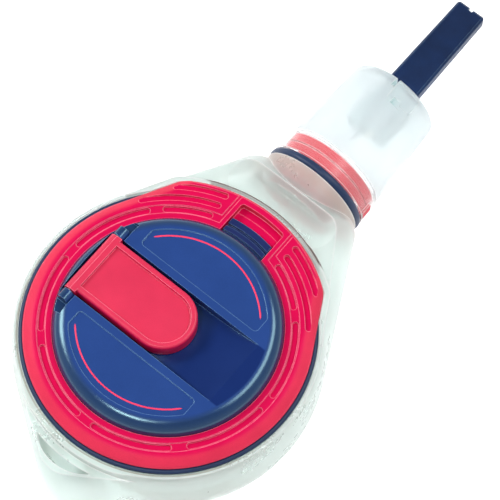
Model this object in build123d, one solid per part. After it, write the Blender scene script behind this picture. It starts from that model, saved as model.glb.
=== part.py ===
from build123d import *
import math
import os

# Chalk line reel, in millimetres.
# Origin: on the reel's axis, in the flat back face that the tool lies on.
# +Z comes out of the crank side, +Y runs out of the nose, +X completes the frame.

# Case: a hollow pebble-shaped drum with a shoulder, a neck and a strap tail
DRUM_R = 46.0  # widest, at the level of the neck's axis
WALL = 2.2
CASE_TOP = 37.4
CASE_WIDEST_Z = 22.0
BACK_ROUND = 12.0  # how far the drum draws in at the back face
FRONT_ROUND = 1.9  # how far it draws in at the front rim
SHOULDER_END_Y = 65.4
SHOULDER_HALF_WIDTH = 20.8
SHOULDER_CORNER_R = 7.0
TAIL_END_Y = -54.0
TAIL_R = 10.0
CAVITY_TOP = 30.0
TAIL_TOP = 34.4  # the tail's face, lower than the drum's rim
TAIL_STEP_R = 45.4
STRAP_SLOT_INNER_R = 47.5  # the crescent slot's inner side, concentric with the drum
STRAP_SLOT_OUTER_R = 14.8  # its outer side bulges more
STRAP_SLOT_END_Y = -50.4

# Neck
NECK_Z = 19.3
NECK_R = 17.0
NECK_END_Y = 65.9
NECK_BORE_R = 14.6
NECK_START_Y = 54.0
SCOOP_Y = 51.5  # the thumb scoop between the lip and the neck
SCOOP_DEPTH_Z = 35.3
SCOOP_R = 14.0
SCOOP_HALF_X = 11.0

# Front cover and its gasket
SEAT_Z = 36.4  # ledge that the cover and the gasket sit on
COVER_R = 42.0
COVER_EDGE_Z = 38.5
COVER_TOP = 41.0
COVER_FLAT_R = 38.3
COVER_BORE_R = 33.4
COVER_SKIRT_R = 40.15
COVER_SKIRT_BOTTOM = 31.0
COVER_SKIRT_THICKNESS = 1.7
COVER_UNDERSIDE_Z = 38.8
COVER_LIP_R = 41.2  # the lip that shuts the gasket in
SEAL_LIP_R = 36.3
COLLAR_R = 40.2
EAR_R = 46.0
EAR_HALF_ANGLE = 36.0
EAR_CORNER_R = 3.0
EAR_SIDE_ANGLE = 60.9  # where each shoulder's straight side leaves the round edge
EAR_BEVEL = 0.7
EAR_LIP = 2.0  # width of the case's raised lip around the ears
LIP_GROOVE_WIDTH = 0.45
LIP_GROOVE_BOTTOM = 35.0
LIP_GROOVE_HALF_ANGLE = 25.4
GASKET_R = 42.3
GASKET_WIRE_R = 0.88
GASKET_SEAT_R = 43.6
GROOVE_DEPTH = 0.8
GROOVE_R = 36.4  # the row of long grooves all round the cover
GROOVE_WIDTH = 1.8
GROOVE_HALF_ANGLE = 17.7
GROOVE_MIDDLES = (67.5, 112.5, 157.5)  # degrees from +Y, on both sides
SHOULDER_GROOVES = [(36.4, 30.9, 10.2), (40.1, 35.1, 16.2), (43.6, 27.3, 9.7)]
BAND_DEPTH = 0.2
BAND_INNER_R = 35.2
BAND_OUTER_R = 37.7
LATCH_BAR_HALF_WIDTH = 9.2  # the raised bars on both sides of the lock's recess
LATCH_SLIT_WIDTH = 0.9
PAD_HALF_ANGLE = 15.5  # the thick pad below the lock's recess
PAD_R = 45.2

# Lock
LOCK_TRAVEL = 3.0
LOCK_FLOOR_Z = 38.6
LOCK_PAD_BOTTOM = 37.5
LOCK_RECESS_R = 43.6
LOCK_RECESS_HALF_WIDTH = 7.75
LOCK_HALF_WIDTH = 7.3
SLIDER_TOP = 40.4
SLIDER_Y = 33.6
SLIDER_END_Y = 38.5
STEM_HALF_WIDTH = 2.0
STEM_Y = 34.9
STEM_END_Y = 35.9
PAWL_BOTTOM = 36.3
PAWL_ARM_Y = 36.45
PAWL_ARM_END_Y = 37.8
PAWL_HALF_WIDTH = 4.5
PAWL_ARM_HALF_WIDTH = 2.8
PAWL_TOE_HALF_WIDTH = 1.6
LOCK_POCKET_HALF_WIDTH = 6.2
LOCK_POCKET_END_Y = 41.2

# Crank disc
DISC_R = 33.35
DISC_TOP = 45.0
DISC_RIM_ROUND = 4.6
DISC_BOTTOM = 34.0
DISC_SKIN = 2.4
DISC_WALL = 2.6
CHANNEL_HALF_WIDTH = 10.8
CHANNEL_FLOOR = 40.7
RAMP_START_X = 2.0  # the channel floor curves up from here
RAMP_END_X = 24.5
FLANGE_R = 34.6
FLANGE_THICKNESS = 2.0
RIM_INNER_R = 30.8  # the rim's inner side, at the channel floor
PANEL_DEPTH = 0.3
PANEL_R = 28.4
PANEL_MIDDLE_Y = 23.3
DRIVE_PEG_R = 1.6  # four pegs under the disc turn the spool
DRIVE_PEG_RING_R = 9.5
LUG_R = 1.9

# Handle
HINGE_X = -27.85
HINGE_Z = 43.9
KNUCKLE_R = 2.1
HANDLE_TOP = 46.3
HANDLE_BOTTOM = 41.3
HANDLE_HALF_WIDTH = 9.75
HANDLE_TIP_X = 8.2
HANDLE_RAIL = 1.8  # width of the handle's raised frame
INSET_START_X = -26.2
HINGE_BAR_HALF_WIDTH = 10.45
HINGE_PIN_R = 1.0
LUG_END_Y = 13.9
HINGE_WELL_OUTER_X = -30.6  # the well that the handle's hinge bar turns in
HINGE_WELL_INNER_X = -26.0
LUG_WELL_Z = 42.2
LUG_WELL_END_Y = 17.6

# Spool, axle and bearings
AXLE_R = 2.0
BOSS_R = 6.0
BOSS_TOP = 8.0
AXLE_TOP = 26.0
BUSH_R = 4.5
SPOOL_BOTTOM = 9.2
SPOOL_FLANGE_T = 1.6
SPOOL_FLANGE_R = 36.0
SPOOL_HUB_R = 14.0
SPOOL_TOP = 31.0
RATCHET_Z = 27.0
RATCHET_TEETH = 24
TOOTH_DEPTH = 2.0
SPOOL_CROWN_R = 11.8
LINE_COIL_R = 27.0
SCREW_R = 1.3
SCREW_HEAD_R = 2.9
SCREW_WELL_DEPTH = 1.2
SCREW_WASHER_T = 0.6
RUN = 0.05  # radial clearance of a running fit

# Nose: cap, felt holder and felts, on the neck's axis
O_RING_R = 15.85
O_RING_HALF_Y = 1.4
CAP_START_Y = 68.85
CAP_END_Y = 107.0
CAP_START_R = 17.0
CAP_END_R = 14.7
CAP_RIM_ROUND = 2.0
CAP_WALL = 1.6
CAP_PANEL_DEPTH = 0.22
CAP_PANEL_Y = 95.0
CAP_FLOOR = 2.4  # thickness of the cap's end wall
SLEEVE_START_Y = 92.0
SLEEVE_WALL = 1.5
GRIP_SLACK = 0.15
HOLDER_START_Y = 60.5
HOLDER_END_Y = 75.3
HOLDER_R = 14.5
HOLDER_FLANGE_R = 15.35
HOLDER_GROOVE_Y = 72.0  # a fine groove round the flange
HOLDER_GROOVE = 0.5
HOLDER_LUG_HALF_WIDTH = 1.9
FELT_R = 11.5
FELT_START_Y = 63.0
FELT_END_Y = 73.9

# Line pin: the flat grip stowed in the nose, its needle and the tied line
LINE_R = 0.4
LINE_BEND_Y = 86.0
GRIP_START_Y = 93.5
TANG_END_Y = 101.0  # the grip's inner end narrows from here
TANG_HALF_WIDTH = 3.4
GRIP_END_Y = 144.8
GRIP_THICKNESS = 5.0
GRIP_HALF_WIDTH = 5.5
GRIP_TIP_HALF_WIDTH = 5.0
GRIP_NOTCH_HALF_WIDTH = 0.75
GRIP_NOTCH_DEPTH = 1.1
NEEDLE_R = 0.6
NEEDLE_X = -1.6
NEEDLE_START_Y = 88.0
NEEDLE_SOCKET = 5.0
EYE_X = 1.4
EYE_Y = 97.0
EYE_R = 1.1


def ring(inner, outer, bottom, top):
    """A flat ring about the reel's axis."""
    height = top - bottom
    middle = Pos(0, 0, (bottom + top) / 2)
    return middle * (Cylinder(outer, height) - Cylinder(inner, height))


def disc(radius, bottom, top):
    """A plain cylinder about the reel's axis."""
    return Pos(0, 0, (bottom + top) / 2) * Cylinder(radius, top - bottom)


def block(x0, x1, y0, y1, z0, z1):
    """A box between two corners."""
    centre = Pos((x0 + x1) / 2, (y0 + y1) / 2, (z0 + z1) / 2)
    return centre * Box(x1 - x0, y1 - y0, z1 - z0)


def neck_rod(radius, start, end, x=0.0):
    """A cylinder along the neck, from start to end in Y."""
    centre = Pos(x, (start + end) / 2, NECK_Z) * Rot(90, 0, 0)
    return centre * Cylinder(radius, end - start)


def neck_turned(points):
    """A solid turned about the neck's axis from (radius, y) points joined by lines."""
    profile = make_face(Polyline(*points, close=True))
    upright = revolve(Plane.XY * profile, Axis.Y)
    return Pos(0, 0, NECK_Z) * upright


def from_nose(angle, radius):
    """The point at a radius and an angle clockwise from +Y, seen from the front."""
    a = math.radians(angle)
    return (radius * math.sin(a), radius * math.cos(a))


def arc_slot(radius, width, centre_angle, half_angle, bottom, top):
    """A curved slot with round ends, centred at an angle clockwise from +Y."""
    path = CenterArc((0, 0), radius, 90 - centre_angle - half_angle, 2 * half_angle)
    return Pos(0, 0, bottom) * extrude(SlotArc(path, width), top - bottom)


def hull_outline(discs):
    """The closed outline that wraps a counter-clockwise list of (x, y, r) discs."""
    count = len(discs)
    leave = []
    arrive = [None] * count
    for i, (x, y, r) in enumerate(discs):
        x2, y2, r2 = discs[(i + 1) % count]
        gap = math.hypot(x2 - x, y2 - y)
        dx, dy = (x2 - x) / gap, (y2 - y) / gap
        along = (r - r2) / gap
        across = math.sqrt(1 - along**2)
        nx, ny = dx * along + dy * across, dy * along - dx * across
        leave.append((x + r * nx, y + r * ny))
        arrive[(i + 1) % count] = (x2 + r2 * nx, y2 + r2 * ny)
    edges = []
    for i, (x, y, r) in enumerate(discs):
        first = math.atan2(arrive[i][1] - y, arrive[i][0] - x)
        last = math.atan2(leave[i][1] - y, leave[i][0] - x)
        if last < first:
            last += 2 * math.pi
        middle = (first + last) / 2
        top = (x + r * math.cos(middle), y + r * math.sin(middle))
        edges.append(ThreePointArc(arrive[i], top, leave[i]))
        edges.append(Line(leave[i], arrive[(i + 1) % count]))
    return Wire(edges)


def case_section(z, wall, level):
    """The case's outline at a height, drawn in by a wall, placed at a level."""
    back = max(0.0, (CASE_WIDEST_Z - z) / CASE_WIDEST_Z)
    front = max(0.0, (z - CASE_WIDEST_Z) / (CASE_TOP - CASE_WIDEST_Z))
    back_in = 1 - math.sqrt(1 - (0.97 * back) ** 2)
    front_in = 1 - math.sqrt(1 - (0.97 * front) ** 2)
    drum = DRUM_R - BACK_ROUND * back_in - FRONT_ROUND * front_in - wall
    corner = SHOULDER_CORNER_R - 2.5 * back_in - 1.5 * front_in - 0.5 * wall
    shoulder_x = SHOULDER_HALF_WIDTH - 5 * back_in - 2.5 * front_in - wall - corner
    shoulder_y = SHOULDER_END_Y - 9 * back_in - 8 * front**1.6 - wall - corner
    tail = TAIL_R + 5 * back_in - 2 * front_in - 0.5 * wall
    tail_y = TAIL_END_Y + 2.2 * back_in + 4.5 * front_in + wall + tail
    outline = hull_outline([
        (0, 0, drum),
        (shoulder_x, shoulder_y, corner),
        (-shoulder_x, shoulder_y, corner),
        (0, 0, drum),
        (0, tail_y, tail),
    ])
    return Pos(0, 0, level) * outline


def case_loft(wall, bottom, top):
    """A smooth body through the case's sections, squeezed between two levels."""
    sections = []
    steps = [0.0, 0.03, 0.1, 0.22, 0.4, 0.59, 0.72, 0.84, 0.93, 0.98, 1.0]
    for step in steps:
        z = step * CASE_TOP
        level = bottom + step * (top - bottom)
        sections.append(case_section(z, wall, level))
    return Solid.make_loft(sections)


def ear_outline(round_r, corner_r):
    """A circle with two rounded shoulders beside the lock."""
    inner = EAR_R - EAR_CORNER_R
    return hull_outline([
        (0, 0, round_r),
        (*from_nose(EAR_HALF_ANGLE, inner), corner_r),
        (*from_nose(-EAR_HALF_ANGLE, inner), corner_r),
    ])


def nose_sector(half_angle, inner, outer):
    """A plan sector about the nose side, between two radii."""
    wedge = make_face(Polyline(
        (0, 0),
        from_nose(-half_angle, 2 * outer),
        from_nose(half_angle, 2 * outer),
        close=True,
    ))
    return (wedge & Circle(outer)) - Circle(inner)


def ear_face(offset):
    """The cover's plan, grown by an offset."""
    plan = make_face(ear_outline(COVER_R + offset, EAR_CORNER_R + offset))
    return (plan + nose_sector(EAR_HALF_ANGLE, 1, EAR_R + offset)).face()


def thumb_scoop():
    """A shallow hollow across the shoulder, round at both ends."""
    middle = Pos(0, SCOOP_Y, SCOOP_DEPTH_Z + SCOOP_R)
    scoop = middle * Rot(0, 90, 0) * Cylinder(SCOOP_R, 2 * SCOOP_HALF_X)
    for side in (-1, 1):
        scoop += Pos(side * SCOOP_HALF_X, 0, 0) * middle * Sphere(SCOOP_R)
    return scoop


def clear_case():
    body = case_loft(0, 0, CASE_TOP)
    lip = extrude(ear_face(EAR_LIP), 14)
    lip = Pos(0, 0, COVER_EDGE_Z - 14) * lip
    body += lip & block(-40, 40, 24, 60, 0, 60)
    body += neck_rod(NECK_R, NECK_START_Y, NECK_END_Y)
    body -= thumb_scoop() - extrude(ear_face(EAR_LIP), 60)
    cavity = case_loft(WALL, WALL, CAVITY_TOP)
    cavity += neck_rod(NECK_BORE_R, NECK_START_Y + 3, NECK_END_Y + 1)
    tail_wall = block(-30, 30, TAIL_END_Y, -DRUM_R + WALL + 0.6, 0, 60)
    cavity -= tail_wall
    body -= cavity
    body -= disc(COLLAR_R, CAVITY_TOP - 1, CASE_TOP + 5)
    seat = Pos(0, 0, SEAT_Z) * extrude(ear_face(0.3), 10)
    body -= seat + disc(GASKET_SEAT_R, SEAT_Z, SEAT_Z + 10)
    body -= lock_pocket()
    body -= lip_groove()
    body -= block(-30, 30, -60, -40, TAIL_TOP, 60) - disc(TAIL_STEP_R, 0, 70)
    body -= strap_slot()
    body += disc(BOSS_R, WALL - 1, BOSS_TOP)
    body -= disc(AXLE_R, 1.2, BOSS_TOP + 1)
    return body


def lip_groove():
    """A fine groove at the foot of the raised lip, between its two shoulders."""
    sector = nose_sector(LIP_GROOVE_HALF_ANGLE, EAR_R + EAR_LIP, EAR_R + EAR_LIP + LIP_GROOVE_WIDTH)
    return Pos(0, 0, LIP_GROOVE_BOTTOM) * extrude(sector, 20)


def strap_slot():
    """A crescent through the tail."""
    middle = STRAP_SLOT_END_Y + STRAP_SLOT_OUTER_R
    crescent = Pos(0, middle) * Circle(STRAP_SLOT_OUTER_R) - Circle(STRAP_SLOT_INNER_R)
    return Pos(0, 0, -1) * extrude(crescent, 60)


def lock_pocket():
    """The room beside the collar that the lock's pawl travels in."""
    return block(
        -LOCK_POCKET_HALF_WIDTH, LOCK_POCKET_HALF_WIDTH,
        36, LOCK_POCKET_END_Y, 25, LOCK_PAD_BOTTOM,
    )


def rolled_edge():
    """The cover's rolled outer edge, cut across, from the flat band down to the case."""
    return Spline(
        (COVER_FLAT_R, COVER_TOP),
        (40.6, 40.0),
        (COVER_R, COVER_EDGE_Z),
        tangents=[(1, -0.1), (0.25, -1)],
    )


def cover_profile():
    """The cover's ring, cut across: flat band, rolled outer edge, seal lip and skirt."""
    outer = [
        Line((COVER_BORE_R, COVER_TOP), (COVER_FLAT_R, COVER_TOP)),
        rolled_edge(),
        Polyline(
            (COVER_R, COVER_EDGE_Z),
            (COVER_LIP_R, COVER_EDGE_Z),
            (COVER_LIP_R, SEAT_Z + 0.02),
            (COVER_SKIRT_R, SEAT_Z + 0.02),
            (COVER_SKIRT_R, COVER_SKIRT_BOTTOM),
            (COVER_SKIRT_R - COVER_SKIRT_THICKNESS, COVER_SKIRT_BOTTOM),
            (COVER_SKIRT_R - COVER_SKIRT_THICKNESS, COVER_UNDERSIDE_Z),
            (SEAL_LIP_R, COVER_UNDERSIDE_Z),
            (SEAL_LIP_R, LOCK_PAD_BOTTOM),
            (COVER_BORE_R, LOCK_PAD_BOTTOM),
            (COVER_BORE_R, COVER_TOP),
        ),
    ]
    return Plane.XZ * make_face(outer)


def shoulder_waste(side):
    """What the rolled edge takes off beyond one straight side of the shoulders."""
    waste = make_face([
        rolled_edge(),
        Polyline(
            (COVER_R, COVER_EDGE_Z),
            (COVER_R, COVER_EDGE_Z - 2),
            (COVER_R + 15, COVER_EDGE_Z - 2),
            (COVER_R + 15, COVER_TOP + 9),
            (COVER_FLAT_R, COVER_TOP + 9),
            (COVER_FLAT_R, COVER_TOP),
        ),
    ])
    bar = extrude(Plane.XZ * waste, -40)
    bar = Rot(0, 0, 90 - EAR_SIDE_ANGLE) * bar
    return bar if side > 0 else bar.mirror(Plane.YZ)


def shoulders():
    """The cover's thick crown beside the lock, with two straight rolled sides."""
    blank = revolve(Plane.XZ * make_face(Polyline(
        (COVER_BORE_R, COVER_EDGE_Z),
        (EAR_R, COVER_EDGE_Z),
        (EAR_R, COVER_TOP - EAR_BEVEL),
        (EAR_R - EAR_BEVEL, COVER_TOP),
        (COVER_BORE_R, COVER_TOP),
        close=True,
    )), Axis.Z)
    plan = make_face(ear_outline(COVER_R + 0.6, EAR_CORNER_R))
    plan = (plan + nose_sector(EAR_HALF_ANGLE, 1, EAR_R + 0.5)).face()
    blank &= Pos(0, 0, COVER_EDGE_Z - 1) * extrude(plan, 10)
    blank &= Pos(0, 0, COVER_EDGE_Z - 1) * extrude(nose_sector(EAR_SIDE_ANGLE, 20, 60), 10)
    return blank - shoulder_waste(-1) - shoulder_waste(1)


def lock_recess():
    """The sunken floor that the lock slides on, in plan."""
    plan = Pos(0, 38) * Rectangle(2 * LOCK_RECESS_HALF_WIDTH, 20) & Circle(LOCK_RECESS_R)
    corners = plan.vertices().sort_by(Axis.Y)[-2:]
    return fillet(corners, 1.0) - Circle(COVER_BORE_R - 1)


def front_cover():
    cover = revolve(cover_profile(), Axis.Z)
    above = Pos(0, 0, COVER_EDGE_Z) * extrude(nose_sector(EAR_SIDE_ANGLE, 20, 60), 10)
    cover = (cover - above) + shoulders()
    skirt = Pos(0, 0, SEAT_Z + 0.05) * extrude(ear_face(0), COVER_EDGE_Z - SEAT_Z - 0.05)
    skirt &= block(-50, 50, 26, 60, 0, 60)
    cover += skirt - disc(GASKET_SEAT_R, 0, COVER_EDGE_Z)
    pad = nose_sector(PAD_HALF_ANGLE, COVER_BORE_R, PAD_R)
    pad = Pos(0, 0, LOCK_PAD_BOTTOM) * extrude(pad, COVER_TOP - 0.1 - LOCK_PAD_BOTTOM)
    cover += pad - disc(GASKET_SEAT_R, 0, COVER_EDGE_Z) + (pad & disc(40, 0, 60))
    cover -= Pos(0, 0, LOCK_FLOOR_Z) * extrude(lock_recess(), 10)
    cover -= block(
        -STEM_HALF_WIDTH - 0.1, STEM_HALF_WIDTH + 0.1,
        STEM_Y - 0.1, STEM_END_Y + LOCK_TRAVEL + 0.1, 30, 60,
    )
    cover -= lock_pocket()
    band_z = COVER_TOP - BAND_DEPTH
    slit_end = LATCH_BAR_HALF_WIDTH + LATCH_SLIT_WIDTH
    band = ring(BAND_INNER_R, BAND_OUTER_R, band_z, 60)
    band += block(-slit_end, slit_end, 30, 50, band_z, 60) - disc(BAND_INNER_R, 0, 70)
    cover -= band - block(-LATCH_BAR_HALF_WIDTH, LATCH_BAR_HALF_WIDTH, 30, 51, 0, 70)
    floor = COVER_TOP - GROOVE_DEPTH
    for side in (-1, 1):
        for middle in GROOVE_MIDDLES:
            cover -= arc_slot(
                GROOVE_R, GROOVE_WIDTH, side * middle, GROOVE_HALF_ANGLE, floor, COVER_TOP + 1
            )
        for radius, middle, half_angle in SHOULDER_GROOVES:
            cover -= arc_slot(
                radius, GROOVE_WIDTH, side * middle, half_angle, floor, COVER_TOP + 1
            )
    return cover


def cover_gasket():
    section = Plane.XZ * (Pos(GASKET_R, SEAT_Z + GASKET_WIRE_R + 0.03) * Circle(GASKET_WIRE_R))
    return revolve(section, Axis.Z)


def lock_slider():
    plan = Pos(0, 38) * Rectangle(2 * LOCK_HALF_WIDTH, 20)
    plan = (plan & Circle(SLIDER_END_Y)) - Circle(SLIDER_Y)
    bottom = LOCK_FLOOR_Z + 0.03
    slab = Pos(0, 0, bottom) * extrude(plan, SLIDER_TOP - bottom)
    slab -= ring(35.6, 36.5, SLIDER_TOP - 1.1, SLIDER_TOP + 1)
    slab -= ring(33, 34.1, SLIDER_TOP - 0.5, SLIDER_TOP + 1)
    stem = block(
        -STEM_HALF_WIDTH, STEM_HALF_WIDTH, STEM_Y, STEM_END_Y, PAWL_BOTTOM, bottom + 0.2
    )
    return slab + stem


def lock_pawl():
    """Plate on the slider's stem, with an arm and a toe that drops between the teeth."""
    plate_top = LOCK_PAD_BOTTOM - RUN
    plate = block(
        -PAWL_HALF_WIDTH, PAWL_HALF_WIDTH,
        STEM_Y - 0.15, PAWL_ARM_END_Y, PAWL_BOTTOM, plate_top,
    )
    arm = block(
        -PAWL_ARM_HALF_WIDTH, PAWL_ARM_HALF_WIDTH,
        PAWL_ARM_Y, PAWL_ARM_END_Y, RATCHET_Z, plate_top,
    )
    toe = block(
        -PAWL_TOE_HALF_WIDTH, PAWL_TOE_HALF_WIDTH,
        SPOOL_FLANGE_R - TOOTH_DEPTH + 0.3, PAWL_ARM_END_Y,
        RATCHET_Z, RATCHET_Z + SPOOL_FLANGE_T,
    )
    hole = block(
        -STEM_HALF_WIDTH - 0.02, STEM_HALF_WIDTH + 0.02,
        STEM_Y - 0.02, STEM_END_Y + 0.02, 30, 40,
    )
    notch = block(PAWL_HALF_WIDTH - 0.4, PAWL_HALF_WIDTH + 1, 36.6, 37.4, 30, 40)
    return plate - hole - notch + arm + toe


def detent_spring():
    """A bent leaf beside the pawl plate that clicks into the plate's edge notch."""
    strip = make_face(Polyline(
        (5.9, 36.6), (5.9, 37.8), (5.3, 39.1), (5.9, 40.4), (5.9, 41.0),
        (5.6, 41.0), (5.6, 40.5), (5.0, 39.1), (5.6, 37.7), (5.6, 36.6),
        close=True,
    ))
    return Pos(0, 0, PAWL_BOTTOM) * extrude(strip, 1.1)


def label_panel(side):
    """The shallow panel between the channel and the rim on one side of the disc."""
    plan = Circle(PANEL_R) & (Pos(0, side * PANEL_MIDDLE_Y) * Rectangle(43, 20))
    plan = fillet(plan.vertices(), 1.2)
    return Pos(0, 0, DISC_TOP - PANEL_DEPTH) * extrude(plan, 5)


def finger_channel():
    """The channel across the disc: flat below the handle, then curving up to the far rim."""
    run = RAMP_END_X - RAMP_START_X
    rise = DISC_TOP - CHANNEL_FLOOR
    curve_r = (run**2 + rise**2) / (2 * rise)
    halfway = CHANNEL_FLOOR + curve_r - math.sqrt(curve_r**2 - (run / 2) ** 2)
    side = make_face([
        Line((-40, CHANNEL_FLOOR), (RAMP_START_X, CHANNEL_FLOOR)),
        ThreePointArc(
            (RAMP_START_X, CHANNEL_FLOOR), (RAMP_START_X + run / 2, halfway), (RAMP_END_X, DISC_TOP)
        ),
        Polyline(
            (RAMP_END_X, DISC_TOP),
            (RAMP_END_X, DISC_TOP + 9),
            (-40, DISC_TOP + 9),
            (-40, CHANNEL_FLOOR),
        ),
    ])
    channel = extrude(Plane.XZ * side, CHANNEL_HALF_WIDTH, both=True)
    bowl = Pos(0, 0, CHANNEL_FLOOR + 5) * Cone(RIM_INNER_R - 0.8, RIM_INNER_R + 1.0, 10)
    return channel & bowl


def crank_disc():
    body = disc(DISC_R, DISC_BOTTOM, DISC_TOP)
    body = fillet(body.faces().sort_by(Axis.Z)[-1].edges(), DISC_RIM_ROUND)
    body += disc(FLANGE_R, DISC_BOTTOM, DISC_BOTTOM + FLANGE_THICKNESS)
    hollow = disc(DISC_R - DISC_WALL, DISC_BOTTOM - 1, CHANNEL_FLOOR - DISC_SKIN)
    for side in (-1, 1):
        crown = Circle(27) & (Pos(0, side * 23.4) * Rectangle(60, 20))
        rise = DISC_TOP - CHANNEL_FLOOR - 0.2
        hollow += Pos(0, 0, CHANNEL_FLOOR - DISC_SKIN - 0.5) * extrude(crown, rise)
    body -= hollow
    body -= finger_channel()
    body -= block(
        HINGE_WELL_OUTER_X, HINGE_WELL_INNER_X,
        -CHANNEL_HALF_WIDTH, CHANNEL_HALF_WIDTH, CHANNEL_FLOOR, DISC_TOP + 1,
    )
    for side in (-1, 1):
        low, high = sorted((side * CHANNEL_HALF_WIDTH, side * LUG_WELL_END_Y))
        body -= block(-DISC_R - 1, HINGE_WELL_INNER_X + 0.4, low, high, LUG_WELL_Z, DISC_TOP + 1)
        middle = side * (CHANNEL_HALF_WIDTH + LUG_END_Y) / 2
        length = LUG_END_Y - CHANNEL_HALF_WIDTH
        lug = Pos(HINGE_X, middle, HINGE_Z) * Rot(90, 0, 0) * Cylinder(LUG_R, length)
        foot = Pos(HINGE_X, middle, (41 + HINGE_Z) / 2) * Box(2 * LUG_R, length, HINGE_Z - 41)
        body += (lug + foot) & disc(DISC_R - 0.6, 0, 60)
        body -= label_panel(side)
    pin_hole = Pos(HINGE_X, 0, HINGE_Z) * Rot(90, 0, 0) * Cylinder(HINGE_PIN_R, 2 * LUG_END_Y - 0.8)
    body -= pin_hole
    screw_hole = disc(SCREW_R + 0.4, SPOOL_TOP - 1, CHANNEL_FLOOR + 1)
    boss = disc(7, SPOOL_TOP, CHANNEL_FLOOR - 1)
    body = body - screw_hole + (boss - screw_hole)
    for angle in range(0, 360, 90):
        x, y = from_nose(angle, DRIVE_PEG_RING_R)
        body += Pos(x, y, 0) * disc(DRIVE_PEG_R, SPOOL_TOP - 2, CHANNEL_FLOOR - 1.7)
    body -= disc(SCREW_HEAD_R + 0.7, CHANNEL_FLOOR - SCREW_WELL_DEPTH, CHANNEL_FLOOR + 1)
    return body


def crank_handle():
    tip_r = HANDLE_HALF_WIDTH
    centre_x = HANDLE_TIP_X - tip_r
    plan = Pos(centre_x, 0) * Circle(tip_r)
    plan += Pos((centre_x + HINGE_X) / 2, 0) * Rectangle(centre_x - HINGE_X, 2 * tip_r)
    plate = Pos(0, 0, HANDLE_BOTTOM) * extrude(plan, HANDLE_TOP - HANDLE_BOTTOM)
    top_edges = plate.faces().sort_by(Axis.Z)[-1].edges()
    plate = fillet(top_edges.filter_by(lambda e: e.center().X > HINGE_X + 0.1), 0.9)
    inset = Pos(centre_x, 0) * Circle(tip_r - HANDLE_RAIL)
    inset += Pos((centre_x + INSET_START_X) / 2, 0) * Rectangle(
        centre_x - INSET_START_X, 2 * (tip_r - HANDLE_RAIL)
    )
    inset = Pos(0, 0, HANDLE_TOP - 0.9) * extrude(inset, 3)
    inset = fillet(inset.faces().sort_by(Axis.Z)[0].edges(), 0.5)
    plate -= inset
    underside = Pos(centre_x, 0) * Circle(tip_r - HANDLE_RAIL)
    underside += Pos((centre_x - 23) / 2, 0) * Rectangle(
        centre_x + 23, 2 * (tip_r - HANDLE_RAIL)
    )
    plate -= Pos(0, 0, HANDLE_BOTTOM - 1) * extrude(underside, 2.6)
    bar = Pos(HINGE_X, 0, HINGE_Z) * Rot(90, 0, 0) * Cylinder(KNUCKLE_R, 2 * HINGE_BAR_HALF_WIDTH)
    shoulder = block(
        HINGE_X, -25.9, -HINGE_BAR_HALF_WIDTH, HINGE_BAR_HALF_WIDTH, HANDLE_BOTTOM + 0.3, HANDLE_TOP
    )
    handle = plate + bar + shoulder
    bore = Pos(HINGE_X, 0, HINGE_Z) * Rot(90, 0, 0) * Cylinder(HINGE_PIN_R + RUN, 30)
    return handle - bore


def handle_hinge_pin():
    rod = Cylinder(HINGE_PIN_R, 2 * LUG_END_Y - 1.0)
    return Pos(HINGE_X, 0, HINGE_Z) * Rot(90, 0, 0) * rod


def disc_seal():
    return ring(COVER_BORE_R + 0.15, FLANGE_R, DISC_BOTTOM + FLANGE_THICKNESS, LOCK_PAD_BOTTOM - RUN)


def line_spool():
    """Hub and back flange, with a closed top that the disc is screwed to."""
    spool = disc(SPOOL_HUB_R, SPOOL_BOTTOM, RATCHET_Z)
    spool += disc(SPOOL_FLANGE_R, SPOOL_BOTTOM, SPOOL_BOTTOM + SPOOL_FLANGE_T)
    spool += disc(SPOOL_CROWN_R, RATCHET_Z - 1, SPOOL_TOP)
    spool -= disc(BUSH_R, SPOOL_BOTTOM - 1, AXLE_TOP + 0.5)
    spool -= ring(BUSH_R + 2, SPOOL_HUB_R - 2, SPOOL_BOTTOM - 1, RATCHET_Z - 3)
    spool -= disc(SCREW_R, AXLE_TOP, SPOOL_TOP + 1)
    for angle in range(0, 360, 90):
        x, y = from_nose(angle, DRIVE_PEG_RING_R)
        spool -= Pos(x, y, 0) * disc(DRIVE_PEG_R + RUN, SPOOL_TOP - 2.1, SPOOL_TOP + 1)
    return spool


def ratchet_flange():
    """Front flange of the spool, with the teeth that the lock's pawl drops into."""
    flange = ring(
        SPOOL_CROWN_R + RUN, SPOOL_FLANGE_R, RATCHET_Z, RATCHET_Z + SPOOL_FLANGE_T
    )
    pitch = 360 / RATCHET_TEETH
    for tooth in range(RATCHET_TEETH):
        gap = block(
            -1.8, 1.8, SPOOL_FLANGE_R - TOOTH_DEPTH, SPOOL_FLANGE_R + 1,
            RATCHET_Z - 1, RATCHET_Z + SPOOL_FLANGE_T + 1,
        )
        flange -= Rot(0, 0, tooth * pitch) * gap
    return flange


def axle_bush():
    return ring(AXLE_R + RUN, BUSH_R, SPOOL_BOTTOM, AXLE_TOP - 0.5)


def reel_axle():
    axle = disc(AXLE_R, 1.2, AXLE_TOP)
    return chamfer(axle.edges(), 0.3)


def thrust_washer():
    return ring(AXLE_R + RUN, BOSS_R, BOSS_TOP, SPOOL_BOTTOM - RUN)


def spool_screw():
    head_z = CHANNEL_FLOOR - SCREW_WELL_DEPTH + SCREW_WASHER_T
    screw = disc(SCREW_R, AXLE_TOP + 1.5, head_z)
    screw += disc(SCREW_HEAD_R, head_z, head_z + 1.5)
    slot = block(-0.4, 0.4, -2.2, 2.2, head_z + 0.7, head_z + 3)
    return screw - slot - Rot(0, 0, 90) * slot


def screw_washer():
    bottom = CHANNEL_FLOOR - SCREW_WELL_DEPTH
    return ring(SCREW_R + RUN, SCREW_HEAD_R + 0.4, bottom, bottom + SCREW_WASHER_T)


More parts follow.
